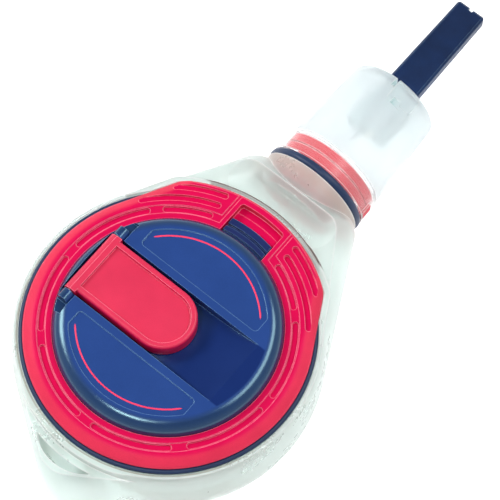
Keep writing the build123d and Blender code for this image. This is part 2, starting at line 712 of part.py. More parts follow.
def wound_line():
    low = SPOOL_BOTTOM + SPOOL_FLANGE_T
    high = RATCHET_Z
    middle = (low + high) / 2
    edge = LINE_COIL_R - 1.2
    section = make_face([
        Polyline((edge, high), (SPOOL_HUB_R, high), (SPOOL_HUB_R, low), (edge, low)),
        ThreePointArc((edge, low), (LINE_COIL_R, middle), (edge, high)),
    ])
    return revolve(Plane.XZ * section, Axis.Z)


def rod_between(start, end, radius):
    """A round rod from one point to another."""
    a, b = Vector(*start), Vector(*end)
    face = Plane(origin=a, z_dir=b - a) * Circle(radius)
    return extrude(face, (b - a).length)


def line_run():
    """The line from where it leaves the coil to the neck."""
    end_y = HOLDER_START_Y - 0.6
    radius = LINE_COIL_R + LINE_R + 0.1
    angle = math.degrees(math.acos(radius / end_y))
    return rod_between((*from_nose(angle, radius), NECK_Z), (0, end_y, NECK_Z), LINE_R)


def line_in_felt():
    return neck_rod(LINE_R, HOLDER_START_Y, HOLDER_END_Y + 2.2)


def line_tail():
    """The line from the felts to the grip's eye."""
    bend = (EYE_X, LINE_BEND_Y, NECK_Z)
    slant = rod_between((0, HOLDER_END_Y + 2.7, NECK_Z), bend, LINE_R)
    straight = neck_rod(LINE_R, LINE_BEND_Y, EYE_Y - EYE_R - 0.1, EYE_X)
    return slant + Pos(*bend) * Sphere(LINE_R) + straight


def neck_o_ring():
    section = Pos(O_RING_R, 67.35) * Ellipse(1.3, O_RING_HALF_Y)
    return Pos(0, 0, NECK_Z) * revolve(section, Axis.Y)


def felt_holder():
    """The red collar: a skirt in the neck, a flange in the cap, a seat for the felts."""
    body = neck_turned([
        (FELT_R + 0.05, FELT_START_Y),
        (4, FELT_START_Y),
        (4, HOLDER_START_Y),
        (HOLDER_R, HOLDER_START_Y),
        (HOLDER_R, CAP_START_Y + 0.1),
        (HOLDER_FLANGE_R, CAP_START_Y + 0.1),
        (HOLDER_FLANGE_R, HOLDER_GROOVE_Y),
        (HOLDER_FLANGE_R - HOLDER_GROOVE, HOLDER_GROOVE_Y),
        (HOLDER_FLANGE_R - HOLDER_GROOVE, HOLDER_GROOVE_Y + HOLDER_GROOVE),
        (HOLDER_FLANGE_R, HOLDER_GROOVE_Y + HOLDER_GROOVE),
        (HOLDER_FLANGE_R, HOLDER_END_Y),
        (FELT_R + 0.05, HOLDER_END_Y),
    ])
    return body + holder_lug(0)


def holder_lug(slack):
    """The lug on the collar's +X side, or with some slack the gap it clicks into."""
    half = HOLDER_LUG_HALF_WIDTH + slack
    outer = CAP_START_R - 0.25 + 10 * slack
    return block(HOLDER_R - slack, outer, 71.5 - half, 71.5 + half, NECK_Z - half, NECK_Z + half)


def felt_pad(side):
    """Half of the felt plug: the line is drawn between the two halves."""
    pad = neck_rod(FELT_R, FELT_START_Y, FELT_END_Y)
    low, high = sorted((NECK_Z + side * 0.5, NECK_Z + side * 20))
    return pad & block(-20, 20, 50, 90, low, high)


def felt_retainer():
    plate = neck_rod(FELT_R + 0.03, FELT_END_Y + 0.05, HOLDER_END_Y - 0.05)
    return plate - neck_rod(3, 60, 90)


def cap_radius(y):
    """The cap's outer radius at a place along the neck."""
    share = (y - CAP_START_Y) / (CAP_END_Y - CAP_START_Y)
    return CAP_START_R + share * (CAP_END_R - CAP_START_R)


def nose_cap():
    """The frosted cap: tapered tube, end wall and the sleeve that holds the grip."""
    shoulder_y = HOLDER_END_Y + 0.3
    end_bore = CAP_END_R - CAP_WALL
    shell = neck_turned([
        (HOLDER_FLANGE_R + 0.03, CAP_START_Y),
        (CAP_START_R, CAP_START_Y),
        (CAP_END_R, CAP_END_Y),
        (0, CAP_END_Y),
        (0, CAP_END_Y - CAP_FLOOR),
        (end_bore, CAP_END_Y - CAP_FLOOR),
        (CAP_START_R - CAP_WALL - 1.2, shoulder_y),
        (HOLDER_FLANGE_R + 0.03, shoulder_y),
    ])
    rim = shell.edges().filter_by(GeomType.CIRCLE).group_by(Axis.Y)[-1]
    shell = fillet(rim, CAP_RIM_ROUND)
    shell += grip_room(SLEEVE_WALL, SLEEVE_START_Y, CAP_END_Y - 1)
    shell -= grip_room(GRIP_SLACK, 80, CAP_END_Y + 2)
    slit_bottom = NECK_Z + GRIP_THICKNESS / 2 - 1
    shell -= block(-0.1, 1.1, CAP_END_Y - 3.6, CAP_END_Y + 1, slit_bottom, NECK_Z + 20)
    far_y = CAP_END_Y + 3
    skin = neck_turned([
        (cap_radius(CAP_PANEL_Y) - CAP_PANEL_DEPTH, CAP_PANEL_Y),
        (25, CAP_PANEL_Y),
        (25, far_y),
        (cap_radius(far_y) - CAP_PANEL_DEPTH, far_y),
    ])
    panel = skin & block(1.4, 9.4, 99.8, CAP_END_Y - CAP_RIM_ROUND + 0.4, NECK_Z, 60)
    window = block(3.1, 6.9, 98.6, 101.0, NECK_Z + cap_radius(100) - 1.4, 60)
    return shell - holder_lug(0.1) - panel - window


def grip_room(margin, start, end):
    """A box round the stowed grip, larger by a margin."""
    half_x = GRIP_HALF_WIDTH + margin
    half_z = GRIP_THICKNESS / 2 + margin
    return block(-half_x, half_x, start, end, NECK_Z - half_z, NECK_Z + half_z)


def line_pin_grip():
    """Flat grip with chamfered long edges, a notched tip and an eye for the line."""
    plan = make_face(Polyline(
        (-TANG_HALF_WIDTH, GRIP_START_Y),
        (TANG_HALF_WIDTH, GRIP_START_Y),
        (GRIP_HALF_WIDTH, TANG_END_Y),
        (GRIP_HALF_WIDTH, CAP_END_Y),
        (GRIP_TIP_HALF_WIDTH, GRIP_END_Y),
        (GRIP_NOTCH_HALF_WIDTH, GRIP_END_Y),
        (GRIP_NOTCH_HALF_WIDTH, GRIP_END_Y - GRIP_NOTCH_DEPTH),
        (-GRIP_NOTCH_HALF_WIDTH, GRIP_END_Y - GRIP_NOTCH_DEPTH),
        (-GRIP_NOTCH_HALF_WIDTH, GRIP_END_Y),
        (-GRIP_TIP_HALF_WIDTH, GRIP_END_Y),
        (-GRIP_HALF_WIDTH, CAP_END_Y),
        (-GRIP_HALF_WIDTH, TANG_END_Y),
        close=True,
    ))
    tips = plan.vertices().group_by(Axis.Y)[-1].sort_by(Axis.X)
    plan = fillet([tips[0], tips[-1]], 1.0)
    grip = Pos(0, 0, NECK_Z - GRIP_THICKNESS / 2) * extrude(plan, GRIP_THICKNESS)
    long_edges = grip.edges().filter_by(lambda e: abs(e.center().X) > 4.5 and e.length > 10)
    grip = chamfer(long_edges, 0.7)
    grip -= neck_rod(NEEDLE_R, GRIP_START_Y - 1, GRIP_START_Y + NEEDLE_SOCKET, NEEDLE_X)
    grip -= Pos(EYE_X, EYE_Y, NECK_Z) * Cylinder(EYE_R, 20)
    grip -= block(EYE_X - 0.6, EYE_X + 0.6, GRIP_START_Y - 1, EYE_Y, NECK_Z - 0.6, NECK_Z + 0.6)
    return grip


def pin_needle():
    shaft = neck_rod(NEEDLE_R, NEEDLE_START_Y, GRIP_START_Y + NEEDLE_SOCKET, NEEDLE_X)
    point = Pos(NEEDLE_X, NEEDLE_START_Y - 1.2, NECK_Z) * Rot(90, 0, 0) * Cone(NEEDLE_R, 0.08, 2.4)
    return shaft + point


def line_knot():
    return Pos(EYE_X, EYE_Y, NECK_Z) * Cylinder(1.0, GRIP_THICKNESS + 0.2)


def save(part, name):
    export_step(Part() + part, f"parts/{name}.step")


def main():
    os.makedirs("parts", exist_ok=True)
    save(clear_case(), "clear_case")
    save(front_cover(), "front_cover")
    save(cover_gasket(), "cover_gasket")
    save(lock_slider(), "lock_slider")
    save(lock_pawl(), "lock_pawl")
    save(detent_spring(), "detent_spring")
    save(crank_disc(), "crank_disc")
    save(crank_handle(), "crank_handle")
    save(handle_hinge_pin(), "handle_hinge_pin")
    save(disc_seal(), "disc_seal")
    save(line_spool(), "line_spool")
    save(ratchet_flange(), "ratchet_flange")
    save(axle_bush(), "axle_bush")
    save(reel_axle(), "reel_axle")
    save(thrust_washer(), "thrust_washer")
    save(spool_screw(), "spool_screw")
    save(screw_washer(), "screw_washer")
    save(wound_line(), "wound_line")
    save(line_run(), "line_run")
    save(line_in_felt(), "line_in_felt")
    save(line_tail(), "line_tail")
    save(neck_o_ring(), "neck_o_ring")
    save(felt_holder(), "felt_holder")
    save(felt_pad(1), "felt_pad_front")
    save(felt_pad(-1), "felt_pad_back")
    save(felt_retainer(), "felt_retainer")
    save(nose_cap(), "nose_cap")
    save(line_pin_grip(), "line_pin_grip")
    save(pin_needle(), "pin_needle")
    save(line_knot(), "line_knot")


main()
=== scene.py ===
"""The looks of the chalk line reel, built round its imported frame."""

import math

import bmesh
import bpy
from mathutils import Matrix, Vector, noise


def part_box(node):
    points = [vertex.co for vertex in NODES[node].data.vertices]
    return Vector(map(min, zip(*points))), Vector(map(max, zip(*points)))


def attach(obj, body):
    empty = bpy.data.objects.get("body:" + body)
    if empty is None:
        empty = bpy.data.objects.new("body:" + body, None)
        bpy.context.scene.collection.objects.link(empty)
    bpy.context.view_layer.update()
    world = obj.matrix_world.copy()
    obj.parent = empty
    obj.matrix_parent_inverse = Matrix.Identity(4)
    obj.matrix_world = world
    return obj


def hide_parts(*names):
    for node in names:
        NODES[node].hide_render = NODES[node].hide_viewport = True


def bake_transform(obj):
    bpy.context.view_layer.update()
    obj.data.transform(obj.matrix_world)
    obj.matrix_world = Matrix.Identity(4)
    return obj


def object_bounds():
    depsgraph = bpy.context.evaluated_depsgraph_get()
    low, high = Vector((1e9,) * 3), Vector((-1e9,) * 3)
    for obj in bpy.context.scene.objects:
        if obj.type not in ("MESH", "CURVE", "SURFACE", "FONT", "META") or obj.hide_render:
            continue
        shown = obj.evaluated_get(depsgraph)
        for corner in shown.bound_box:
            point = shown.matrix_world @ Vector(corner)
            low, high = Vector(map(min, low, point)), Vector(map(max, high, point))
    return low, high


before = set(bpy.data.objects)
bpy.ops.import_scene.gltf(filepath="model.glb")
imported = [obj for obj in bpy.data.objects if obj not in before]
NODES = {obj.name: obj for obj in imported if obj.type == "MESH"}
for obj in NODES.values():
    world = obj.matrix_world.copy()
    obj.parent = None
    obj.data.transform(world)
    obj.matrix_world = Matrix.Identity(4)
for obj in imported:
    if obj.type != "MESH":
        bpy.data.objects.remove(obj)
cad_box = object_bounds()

MM = 0.001


def srgb(red, green, blue):
    """A colour given in 0 to 255 display steps, as the linear values that nodes take."""
    linear = []
    for step in (red, green, blue):
        share = step / 255
        linear.append(share / 12.92 if share <= 0.04045 else ((share + 0.055) / 1.055) ** 2.4)
    return (*linear, 1.0)


# ---------------------------------------------------------------- places in the frame

def span(node):
    """A CAD node's lowest and highest corners, in millimetres."""
    low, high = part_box(node)
    return low / MM, high / MM


CAP_LOW, CAP_HIGH = span("nose_cap")
HOLDER_LOW, HOLDER_HIGH = span("felt_holder")
COVER_HIGH = span("front_cover")[1]
HANDLE_HIGH = span("crank_handle")[1]
COIL_LOW, COIL_HIGH = span("wound_line")
RUN_LOW, RUN_HIGH = span("line_run")
TAIL_LOW = span("line_tail")[0]
KNOT_LOW, KNOT_HIGH = span("line_knot")
GRIP_LOW, GRIP_HIGH = span("line_pin_grip")
NECK_Z = (CAP_LOW.z + CAP_HIGH.z) / 2
HANDLE_STAND = 1.3  # how far the handle stands above the disc's flat face
DISC_FACE_Z = HANDLE_HIGH.z - HANDLE_STAND
LINE_R = (RUN_HIGH.z - RUN_LOW.z) / 2

# Distances that the painted shade and highlights change over, in millimetres
COVER_ROLL_R = (38.0, 38.8)  # from the flat ring to its rolled outer edge
COVER_SUNKEN = (0.42, 0.28)  # below the cover's top: groove floors, then the flat ring
CHANNEL_DEPTH = (2.0, 0.4)  # below the disc's flat face: channel floor, then the face
CHANNEL_SIDE_Y = (10.6, 11.0)
CHANNEL_SHADE_X = (5.0, 12.0)
CHANNEL_END_R = (28.9, 29.3)
DISC_RIM_R = (28.8, 30.6)
FOOT_HALF_X = (11.0, 17.0)
RING_SOFTNESS = 0.08


# ---------------------------------------------------------------- node trees

class Net:
    """A material's node tree, with short calls that add and join its nodes."""

    def __init__(self, name):
        self.material = bpy.data.materials.new(name)
        self.material.use_nodes = True
        self.tree = self.material.node_tree
        self.tree.nodes.clear()
        self.output = self.tree.nodes.new("ShaderNodeOutputMaterial")
        self.place = None

    def add(self, kind, sockets=None, **settings):
        """A new node. A socket's value is a number, a colour or another node's output."""
        node = self.tree.nodes.new("ShaderNode" + kind)
        for key, value in settings.items():
            setattr(node, key, value)
        for key, value in (sockets or {}).items():
            if isinstance(value, bpy.types.NodeSocket):
                self.tree.links.new(value, node.inputs[key])
            else:
                node.inputs[key].default_value = value
        return node

    def coords(self):
        """Object coordinates in millimetres, which stay with a piece when it moves."""
        if self.place is None:
            source = self.add("TexCoord")
            scaled = self.add("VectorMath", {0: source.outputs["Object"], "Scale": 1 / MM},
                              operation="SCALE")
            self.place = scaled.outputs["Vector"]
        return self.place

    def stretched(self, x, y, z):
        """The millimetre coordinates times a factor on each axis."""
        return self.add("Mapping", {"Vector": self.coords(), "Scale": (x, y, z)}).outputs[0]

    def math(self, operation, a, b=0.0, clamp=False):
        node = self.add("Math", {0: a, 1: b}, operation=operation, use_clamp=clamp)
        return node.outputs[0]

    def noise(self, per_mm, detail=2.0, vector=None, roughness=0.5):
        vector = vector or self.coords()
        node = self.add("TexNoise", {
            "Vector": vector, "Scale": per_mm, "Detail": detail, "Roughness": roughness,
        })
        return node.outputs["Fac"]

    def spread(self, value, low, high, to_low=0.0, to_high=1.0, smooth=False):
        """A value mapped from one range to another, and held at its ends."""
        node = self.add("MapRange", {
            "Value": value, "From Min": low, "From Max": high,
            "To Min": to_low, "To Max": to_high,
        }, clamp=True, interpolation_type="SMOOTHSTEP" if smooth else "LINEAR")
        return node.outputs[0]

    def blend(self, share, first, second, mode="MIX"):
        node = self.add("Mix", data_type="RGBA", blend_type=mode, clamp_factor=True)
        for key, value in ((0, share), (6, first), (7, second)):
            if isinstance(value, bpy.types.NodeSocket):
                self.tree.links.new(value, node.inputs[key])
            else:
                node.inputs[key].default_value = value
        return node.outputs[2]

    def bevel(self, radius_mm):
        return self.add("Bevel", {"Radius": radius_mm * MM}, samples=6).outputs[0]

    def edge_mask(self, radius_mm, gain=2.6):
        """1 along convex and concave edges, 0 on faces."""
        plain = self.add("NewGeometry").outputs["Normal"]
        dot = self.add("VectorMath", {0: self.bevel(radius_mm), 1: plain}, operation="DOT_PRODUCT")
        missing = self.math("SUBTRACT", 1.0, dot.outputs["Value"])
        return self.spread(missing, 0.02, 0.02 + 1 / gain)

    def bump(self, height, distance_mm, strength=1.0, normal=None):
        sockets = {"Height": height, "Distance": distance_mm * MM, "Strength": strength}
        if normal is not None:
            sockets["Normal"] = normal
        return self.add("Bump", sockets).outputs[0]

    def finish(self, surface):
        self.tree.links.new(surface, self.output.inputs["Surface"])
        return self.material


def up_share(net, low=0.35, high=0.9):
    """0 on walls, 1 on faces that look out of the crank side."""
    normal = net.add("TexCoord").outputs["Normal"]
    up = net.add("SeparateXYZ", {0: normal}).outputs["Z"]
    return net.spread(up, low, high, smooth=True)


def place_of(net):
    """X, Y and Z in millimetres, and the distance from the reel's axis."""
    place = net.add("SeparateXYZ", {0: net.coords()})
    x, y, z = (place.outputs[key] for key in "XYZ")
    squared = net.math("ADD", net.math("MULTIPLY", x, x), net.math("MULTIPLY", y, y))
    return x, y, z, net.math("SQRT", squared)


def moulding_detail(net, rough, grain_mm, edge_mm):
    """Roughness and normal of a moulded face: fine spark-eroded grain, faint rubs, soft edges."""
    grain = net.noise(2.6, detail=3.0, roughness=0.65)
    rubs = net.noise(0.8, detail=3.0)
    broad = net.noise(0.06, detail=2.0)
    level = net.math("ADD", rough, net.spread(rubs, 0.45, 0.75, 0.0, 0.03))
    level = net.math("ADD", level, net.spread(broad, 0.3, 0.7, -0.02, 0.04))
    normal = net.bump(grain, grain_mm, normal=net.bevel(edge_mm))
    return level, normal


def cover_tones(net):
    """The cover's colour and gloss: crimson, with a painted salmon highlight on its rolled outer
    edge and painted shade in deeper crimson on the groove floors and inner walls.
    """
    z, radius = place_of(net)[2:]
    up = up_share(net, 0.88, 0.995)
    steep = net.math("SUBTRACT", 1.0, up)
    # Painted highlight: the rolled outer edge in a lighter salmon.
    rolled = net.math("MULTIPLY", steep, net.spread(radius, *COVER_ROLL_R))
    floor_z, ring_z = (COVER_HIGH.z - depth for depth in COVER_SUNKEN)
    # Painted shade: groove floors and inner walls in deeper crimson.
    sunken = net.math("MULTIPLY", up, net.spread(z, floor_z, ring_z, 1.0, 0.0))
    inner_wall = net.math("MULTIPLY", steep, net.spread(radius, *COVER_ROLL_R, 1.0, 0.0))
    colour = net.blend(net.math("MULTIPLY", rolled, 0.8), RED_FLAT, RED_ROLLED)
    return net.blend(net.math("MAXIMUM", sunken, inner_wall), colour, RED_DEEP), 1.0


def disc_tones(net):
    """The disc's colour and gloss: navy, a dull channel and low recesses darkened with painted
    shade, and the rounded rim darkened with painted shade to a dark teal.
    """
    x, y, z, radius = place_of(net)
    floor_z, face_z = (DISC_FACE_Z - depth for depth in CHANNEL_DEPTH)
    # Painted shade: deeper navy low in the recesses and across the finger channel.
    low = net.spread(z, floor_z, face_z, 1.0, 0.0)
    across = net.spread(net.math("ABSOLUTE", y), *CHANNEL_SIDE_Y, 1.0, 0.0)
    ahead = net.spread(x, *CHANNEL_SHADE_X)
    within = net.spread(radius, *CHANNEL_END_R, 1.0, 0.0)
    channel = net.math("MULTIPLY", net.math("MULTIPLY", across, ahead), within)
    colour = net.blend(net.math("MAXIMUM", low, channel), NAVY, NAVY_DEEP)
    # Painted shade: the rounded rim darker.
    colour = net.blend(net.spread(radius, *DISC_RIM_R), colour, NAVY_RIM)
    return colour, net.spread(channel, 0.0, 1.0, 1.0, 0.15)


def solid_plastic(name, base, deep, edge, rough=0.38, grain_mm=0.012, edge_mm=0.22,
                  line_mm=0.42, line_gain=6.0, line_share=0.85, tones=None,
                  specular=0.5, shine=(1.0, 1.0, 1.0, 1.0), mottle=0.05):
    """Opaque moulded plastic with painted light: walls in the deep colour, or in its own tones,
    and painted highlights on the edges.
    """
    net = Net(name)
    share = up_share(net)
    # Walls take the deep colour as painted shade; on the lock and the grip it is lighter than the
    # base, a painted light.
    colour, gloss = tones(net) if tones else (net.blend(share, deep, base), 1.0)
    for per_mm, detail in ((0.12, 3.0), (5.0, 1.0)):  # broad clouds, then fine flecks
        tone = net.spread(net.noise(per_mm, detail), 0.3, 0.7, 1.0 - mottle, 1.0 + mottle)
        gray = net.add("CombineColor", {0: tone, 1: tone, 2: tone}).outputs[0]
        colour = net.blend(1.0, colour, gray, mode="MULTIPLY")
    # Painted highlights: the edge colour along top edges, patchy by noise.
    edge_highlight = net.math("MULTIPLY", net.edge_mask(line_mm, line_gain),
                    net.spread(net.noise(0.5, detail=3.0), 0.25, 0.6, 0.6, 1.0))
    edge_highlight = net.math("MULTIPLY", edge_highlight, net.math("MULTIPLY", share, line_share))
    edge_highlight = net.math("MULTIPLY", edge_highlight, gloss)
    colour = net.blend(edge_highlight, colour, edge)
    level, normal = moulding_detail(net, rough, grain_mm, edge_mm)
    shader = net.add("BsdfPrincipled", {
        "Base Color": colour, "Roughness": level, "Normal": normal,
        "Specular IOR Level": net.math("MULTIPLY", gloss, specular), "Specular Tint": shine,
    })
    return net.finish(shader.outputs[0])


def foot_mask(net, x, y, nose_y, amount):
    """The shade across the shoulder in front of the neck, strongest in the middle."""
    before, after = nose_y
    foot = net.math("MULTIPLY", net.spread(y, before - 12.0, before - 3.0, smooth=True),
                    net.spread(y, before + 1.0, after + 2.0, 1.0, 0.0))
    middle = net.spread(net.math("ABSOLUTE", x), *FOOT_HALF_X, 1.0, 0.35, smooth=True)
    return net.math("MULTIPLY", net.math("MULTIPLY", foot, middle), amount)


def see_through(name, tint, body, rough, milk, edge, seam_shade, nose_y, nose_body, nose_milk,
                nose_rough, grain_mm=0.006, edge_mm=0.35, line_mm=0.8, line_gain=3.5,
                seam_mm=3.0, seam_share=0.85, near_seam=1.0, foot_shade=0.0, shade=0.95,
                rings=()):
    """Translucent plastic: blurred clear refraction, a share of milky scattering, painted
    highlights on the edges and painted shade in seams that ambient occlusion finds. The
    body's colour, milkiness and blur change over the nose_y range of places along the tool,
    and foot_shade paints shade on the shoulder just before it. Shade is the light that a
    shadow lets through. Rings are painted shade in fine seams round the reel's axis: inner
    and outer radius, the y where they fade out, the y where they are full, colour and share."""
    net = Net(name)
    x, y, _, radius = place_of(net)
    nose = net.spread(y, *nose_y, smooth=True)
    body = net.blend(nose, body, nose_body)
    body = net.blend(foot_mask(net, x, y, nose_y, foot_shade), body, FOOT_GRAY)
    milk = net.spread(nose, 0.0, 1.0, milk, nose_milk)
    blur = net.spread(nose, 0.0, 1.0, rough, nose_rough)
    level, normal = moulding_detail(net, blur, grain_mm, edge_mm)
    streak = net.noise(0.05, detail=3.0, vector=net.stretched(1.0, 0.35, 1.0))
    clear = net.add("BsdfPrincipled", {
        "Base Color": tint, "Roughness": level, "Normal": net.bevel(edge_mm), "IOR": 1.18,
        "Transmission Weight": 1.0, "Specular IOR Level": 0.5,
    })
    # Painted highlights: edges whiter and milkier.
    rim = net.edge_mask(line_mm, line_gain)
    # Painted shade: seams found by ambient occlusion take a grey shade colour and more milk.
    open_share = net.add("AmbientOcclusion", {"Distance": seam_mm * MM}, samples=8).outputs["AO"]
    seam = net.math("MULTIPLY", net.spread(open_share, 0.35, 0.85, 1.0, 0.0),
                    net.spread(nose, 0.0, 1.0, near_seam, 1.0))
    colour = net.blend(seam, body, seam_shade)
    colour = net.blend(rim, colour, edge)
    share = net.math("MULTIPLY", milk, net.spread(streak, 0.3, 0.7, 0.9, 1.1))
    share = net.math("MAXIMUM", share, net.math("MULTIPLY", rim, 0.95))
    share = net.math("MAXIMUM", share, net.math("MULTIPLY", seam, seam_share))
    # Rings of painted shade in fine seams.
    for inner, outer, none_y, full_y, ring_colour, ring_share in rings:
        ring = net.math("MULTIPLY", ring_mask(net, radius, inner, outer), ring_share)
        ring = net.math("MULTIPLY", ring, ramp_between(net, y, none_y, full_y))
        colour = net.blend(ring, colour, ring_colour)
        share = net.math("MAXIMUM", share, ring)
    milky = net.add("BsdfDiffuse", {"Color": colour, "Normal": normal})
    through = net.add("BsdfTranslucent", {"Color": colour, "Normal": normal})
    cloud = net.add("MixShader", {0: 0.45, 1: milky.outputs[0], 2: through.outputs[0]})
    mixed = net.add("MixShader", {0: share, 1: clear.outputs[0], 2: cloud.outputs[0]})
    shine = net.add("BsdfGlossy", {"Roughness": 0.4, "Normal": net.bevel(edge_mm)})
    gloss = net.add("Fresnel", {"IOR": 1.4}).outputs[0]
    inside = net.add("NewGeometry").outputs["Backfacing"]
    gloss = net.math("MULTIPLY", net.math("MULTIPLY", gloss, share),
                     net.math("SUBTRACT", 1.0, inside))
    polished = net.add("MixShader", {0: gloss, 1: mixed.outputs[0], 2: shine.outputs[0]})
    shadow = net.add("BsdfTransparent", {"Color": (shade, shade, shade, 1.0)})
    ray = net.add("LightPath").outputs["Is Shadow Ray"]
    both = net.add("MixShader", {0: ray, 1: polished.outputs[0], 2: shadow.outputs[0]})
    return net.finish(both.outputs[0])


def ring_mask(net, radius, inner, outer):
    """1 between two radii about the reel's axis, with soft sides."""
    inside = net.spread(radius, inner - RING_SOFTNESS, inner + RING_SOFTNESS)
    outside = net.spread(radius, outer - RING_SOFTNESS, outer + RING_SOFTNESS, 1.0, 0.0)
    return net.math("MULTIPLY", inside, outside)


def ramp_between(net, value, none, full):
    """0 at one value and 1 at another, whichever is the larger."""
    if none < full:
        return net.spread(value, none, full)
    return net.spread(value, full, none, 1.0, 0.0)


def drawn_steel(name):
    net = Net(name)
    lines = net.noise(6.0, detail=2.0, vector=net.stretched(1.0, 0.05, 1.0))
    level = net.spread(lines, 0.3, 0.7, 0.22, 0.4)
    colour = net.blend(net.noise(0.8, detail=3.0), srgb(170, 172, 176), srgb(205, 207, 210))
    normal = net.bump(lines, 0.004, normal=net.bevel(0.08))
    shader = net.add("BsdfPrincipled", {
        "Base Color": colour, "Metallic": 1.0, "Roughness": level, "Normal": normal,
        "Anisotropic": 0.4,
    })
    return net.finish(shader.outputs[0])


def sintered_bronze(name):
    net = Net(name)
    pores = net.add("TexVoronoi", {"Vector": net.coords(), "Scale": 6.0}).outputs["Distance"]
    colour = net.blend(net.noise(1.5, detail=3.0), srgb(150, 108, 60), srgb(200, 156, 96))
    shader = net.add("BsdfPrincipled", {
        "Base Color": colour, "Metallic": 1.0, "Roughness": 0.42,
        "Normal": net.bump(pores, 0.02),
    })
    return net.finish(shader.outputs[0])


def seal_rubber(name):
    net = Net(name)
    film = net.noise(0.7, detail=4.0)
    colour = net.blend(film, srgb(10, 32, 66), srgb(18, 46, 86))
    level = net.spread(film, 0.3, 0.7, 0.42, 0.55)
    shader = net.add("BsdfPrincipled", {
        "Base Color": colour, "Roughness": level, "Specular IOR Level": 0.45,
        "Normal": net.bump(net.noise(4.0, detail=3.0), 0.01),
    })
    return net.finish(shader.outputs[0])


def cotton(name, pale, shaded):
    """Cotton yarn: fine fibres, soft sheen and a little blue chalk caught in the lay."""
    net = Net(name)
    fibre = net.noise(9.0, detail=3.0, vector=net.stretched(1.0, 1.0, 0.4))
    colour = net.blend(net.spread(fibre, 0.3, 0.7), shaded, pale)
    chalk = net.spread(net.noise(0.35, detail=3.0), 0.56, 0.75, 0.0, 0.35)
    colour = net.blend(chalk, colour, srgb(150, 178, 214))
    shader = net.add("BsdfPrincipled", {
        "Base Color": colour, "Roughness": 0.9, "Sheen Weight": 0.5,
        "Normal": net.bump(fibre, 0.04), "Specular IOR Level": 0.2,
    })
    return net.finish(shader.outputs[0])


def pressed_felt(name):
    net = Net(name)
    wool = net.noise(3.5, detail=6.0, roughness=0.75)
    colour = net.blend(net.spread(wool, 0.3, 0.7), srgb(196, 192, 182), srgb(236, 232, 222))
    shader = net.add("BsdfPrincipled", {
        "Base Color": colour, "Roughness": 1.0, "Sheen Weight": 0.8, "Sheen Roughness": 0.5,
        "Normal": net.bump(wool, 0.18), "Specular IOR Level": 0.1,
    })
    return net.finish(shader.outputs[0])


def printed_ink(name):
    net = Net(name)
    fade = net.noise(1.4, detail=3.0)
    colour = net.blend(fade, srgb(236, 34, 84), srgb(246, 60, 104))
    shader = net.add("BsdfPrincipled", {
        "Base Color": colour, "Roughness": net.spread(fade, 0.3, 0.7, 0.4, 0.55),
        "Normal": net.bump(net.noise(6.0), 0.006),
    })
    return net.finish(shader.outputs[0])


RED = srgb(208, 34, 74)
# Painted shade on walls, groove floors and inner walls of the red parts.
RED_DEEP = srgb(206, 0, 72)
# Painted highlight on edges.
RED_EDGE = srgb(255, 142, 166)
RED_FLAT = srgb(206, 4, 72)
# Painted highlight on the cover's rolled edge.
RED_ROLLED = srgb(216, 54, 80)
NAVY = srgb(33, 62, 128)
# Painted shade in the disc's channel and recesses; on the lock's walls a painted light, lighter
# than its base.
NAVY_DEEP = srgb(22, 42, 98)
# Painted shade on the disc's rim.
NAVY_RIM = srgb(24, 48, 90)
# Painted highlight on edges.
NAVY_EDGE = srgb(112, 156, 204)
COLLAR_RED = srgb(190, 26, 52)
# Painted shade on the shoulder before the neck.
FOOT_GRAY = srgb(150, 150, 148)
WHITE = srgb(255, 255, 255)

# Rings of painted shade round the reel's axis.
CASE_SEAMS = (
    (43.4, 44.0, 2.0, -22.0, srgb(156, 148, 130), 0.7),  # painted shade beside the gasket
    (47.7, 48.5, 42.5, 43.5, srgb(112, 84, 80), 0.95),  # painted shade in the groove at the foot of the lip
)

